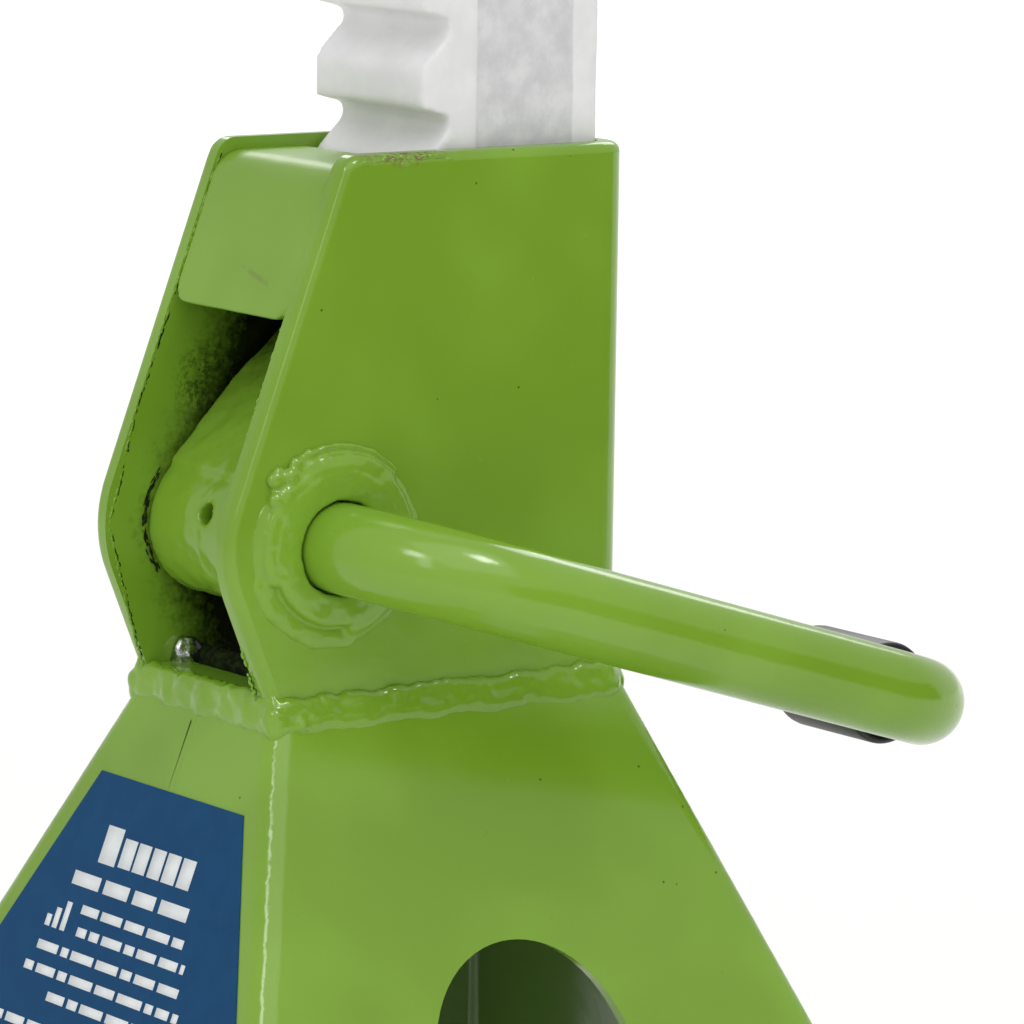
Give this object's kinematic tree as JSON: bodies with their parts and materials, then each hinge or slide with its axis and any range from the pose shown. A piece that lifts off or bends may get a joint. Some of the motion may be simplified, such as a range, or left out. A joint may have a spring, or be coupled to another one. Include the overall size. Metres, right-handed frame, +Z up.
{
  "type": "axle stand",
  "caption": "Ratchet axle stand: pyramid sheet base, head sleeve with pawl and bent lever, and a toothed bar with a saddle that slides up through it.",
  "frame": {"origin": "middle of the base's footprint on the floor", "axes": "+X along the pawl shaft towards the handle side, -Y is the front with the pawl and label, +Z up along the toothed bar"},
  "size_m": [0.2062, 0.1892, 0.3884],
  "materials": {
    "green_powder_coat": "glossy lime green powder coat",
    "white_paint": "satin white paint on a casting",
    "black_rubber": "satin dipped rubber",
    "blue_label": "printed vinyl sticker"
  },
  "bodies": {
    "stand": {"base_shell_right": "green_powder_coat", "base_shell_left": "green_powder_coat", "base_seam_welds": "green_powder_coat", "head_sleeve": "green_powder_coat", "front_guide_plate": "green_powder_coat", "guide_plate_welds": "green_powder_coat", "sleeve_neck_weld": "green_powder_coat", "front_sill_plate": "green_powder_coat", "lower_guide_rod": "green_powder_coat", "front_label": "blue_label", "foot_front_right": "green_powder_coat", "foot_front_left": "green_powder_coat", "foot_rear_right": "green_powder_coat", "foot_rear_left": "green_powder_coat", "boss_ring_right": "green_powder_coat", "boss_ring_left": "green_powder_coat", "boss_weld_right": "green_powder_coat", "boss_weld_left": "green_powder_coat"},
    "bar": {"ratchet_bar": "white_paint", "bar_stop_pin": "white_paint"},
    "handle": {"pawl": "green_powder_coat", "pawl_roll_pin": "green_powder_coat", "handle_rod": "green_powder_coat", "handle_cap": "black_rubber"}
  },
  "joints": [
    {"name": "bar_slide", "type": "slide", "parent": "stand", "child": "bar", "axis": [0, 0, 1], "range_m": [-0.1143, 0.0381]},
    {"name": "handle_hinge", "type": "hinge", "parent": "stand", "child": "handle", "pos_m": [0, -0.0172, 0.18515], "axis": [1, 0, 0], "range_deg": [0, 28]}
  ]
}
